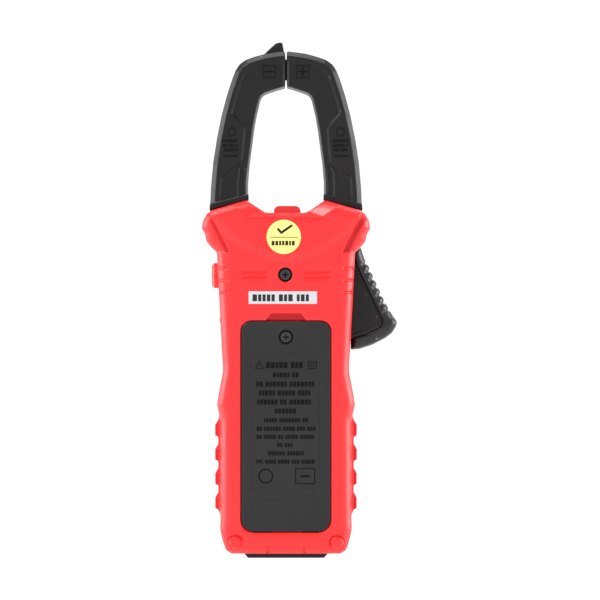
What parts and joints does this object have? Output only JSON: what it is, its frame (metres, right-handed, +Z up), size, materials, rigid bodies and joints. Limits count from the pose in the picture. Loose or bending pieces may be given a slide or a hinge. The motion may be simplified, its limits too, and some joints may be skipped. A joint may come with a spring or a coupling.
{
  "type": "clamp meter",
  "caption": "Handheld current clamp meter with a fixed and a sprung jaw, thumb trigger, wheel selector, display, side button and battery cover.",
  "frame": {"origin": "on the flat base face at the bottom of the terminal block, in the parting plane and the case's centre line", "axes": "+Z up along the meter to the jaw tips, -Y out of the rear face with the battery cover, +X towards the trigger"},
  "size_m": [0.0813, 0.0362, 0.2148],
  "materials": {
    "case_red": "fine satin texture",
    "panel_grey": "satin",
    "window_clear": "clear, glossy",
    "display_green": "reflective display glass",
    "diffuser_white": "glossy",
    "strip_pink": "soft",
    "board_green": "solder mask",
    "chip_black": "matte",
    "parts_brown": "glazed",
    "switch_steel": "brushed",
    "lens_red": "translucent, glossy",
    "terminal_black": "satin",
    "socket_brass": "plated, bright",
    "cell_wrap": "printed film",
    "spring_steel": "nickel plated",
    "screw_black": "black oxide",
    "pin_steel": "ground",
    "sticker_yellow": "vinyl film",
    "label_white": "vinyl film",
    "jaw_black": "fine satin texture",
    "core_steel": "laminated",
    "rotor_white": "smooth",
    "coil_copper": "enamelled copper wire",
    "lead_red": "insulated wire",
    "trigger_grey": "fine satin texture",
    "knob_black": "satin",
    "cover_grey": "fine matte texture",
    "foam_black": "closed-cell foam",
    "key_grey": "soft touch"
  },
  "bodies": {
    "case": {"rear_case": "case_red", "front_case": "case_red", "front_panel": "panel_grey", "display_window": "window_clear", "display_glass": "display_green", "backlight_plate": "diffuser_white", "contact_strip": "strip_pink", "main_board": "board_green", "meter_chip": "chip_black", "board_parts": "parts_brown", "buzzer": "chip_black", "key_switches": "switch_steel", "side_switch": "switch_steel", "signal_lens": "lens_red", "signal_led": "diffuser_white", "terminal_block": "terminal_black", "com_socket": "socket_brass", "volt_socket": "socket_brass", "cell_left": "cell_wrap", "cell_right": "cell_wrap", "cell_springs": "spring_steel", "cell_plates": "spring_steel", "threaded_insert": "socket_brass", "case_screws": "screw_black", "pivot_pin": "pin_steel", "jaw_spring": "spring_steel", "detent_ball": "pin_steel", "round_sticker": "sticker_yellow", "rear_label": "label_white", "fixed_jaw_rear": "jaw_black", "fixed_jaw_front": "jaw_black", "fixed_core": "core_steel", "coil_bobbin": "rotor_white", "coil": "coil_copper", "coil_leads": "lead_red", "sensing_plate": "socket_brass"},
    "moving_jaw": {"moving_jaw_rear": "jaw_black", "moving_jaw_front": "jaw_black", "moving_core": "core_steel", "trigger_grip": "trigger_grey"},
    "selector": {"selector_knob": "knob_black", "knob_pointer": "label_white", "switch_rotor": "rotor_white", "wiper_contacts": "socket_brass"},
    "cover": {"battery_cover": "cover_grey", "cover_screw": "screw_black", "foam_pad": "foam_black"},
    "hold": {"side_button": "case_red"},
    "key_a_body": {"key_a": "key_grey"},
    "key_b_body": {"key_b": "key_grey"},
    "key_c_body": {"key_c": "key_grey"},
    "key_d_body": {"key_d": "key_grey"}
  },
  "joints": [
    {"name": "jaw_hinge", "type": "hinge", "parent": "case", "child": "moving_jaw", "pos_m": [0.02375, 0, 0.1356], "axis": [0, 1, 0], "range_deg": [0, 25], "stiffness_Nm_per_rad": 0.35, "springref_deg": -28.65, "deforming": ["jaw_spring"]},
    {"name": "selector_turn", "type": "hinge", "parent": "case", "child": "selector", "pos_m": [0, 0, 0.099], "axis": [0, -1, 0], "range_deg": [0, 180]},
    {"name": "cover_hinge", "type": "hinge", "parent": "case", "child": "cover", "pos_m": [0, -0.0143, 0.0115], "axis": [1, 0, 0], "range_deg": [0, 80]},
    {"name": "hold_press", "type": "slide", "parent": "case", "child": "hold", "axis": [1, 0, 0], "range_m": [0, 0.0008], "stiffness_N_per_m": 400, "springref_m": -0.001},
    {"name": "key_a_press", "type": "slide", "parent": "case", "child": "key_a_body", "axis": [0, -1, 0], "range_m": [0, 0.0008], "stiffness_N_per_m": 400, "springref_m": -0.001},
    {"name": "key_b_press", "type": "slide", "parent": "case", "child": "key_b_body", "axis": [0, -1, 0], "range_m": [0, 0.0008], "stiffness_N_per_m": 400, "springref_m": -0.001},
    {"name": "key_c_press", "type": "slide", "parent": "case", "child": "key_c_body", "axis": [0, -1, 0], "range_m": [0, 0.0008], "stiffness_N_per_m": 400, "springref_m": -0.001},
    {"name": "key_d_press", "type": "slide", "parent": "case", "child": "key_d_body", "axis": [0, -1, 0], "range_m": [0, 0.0008], "stiffness_N_per_m": 400, "springref_m": -0.001}
  ]
}
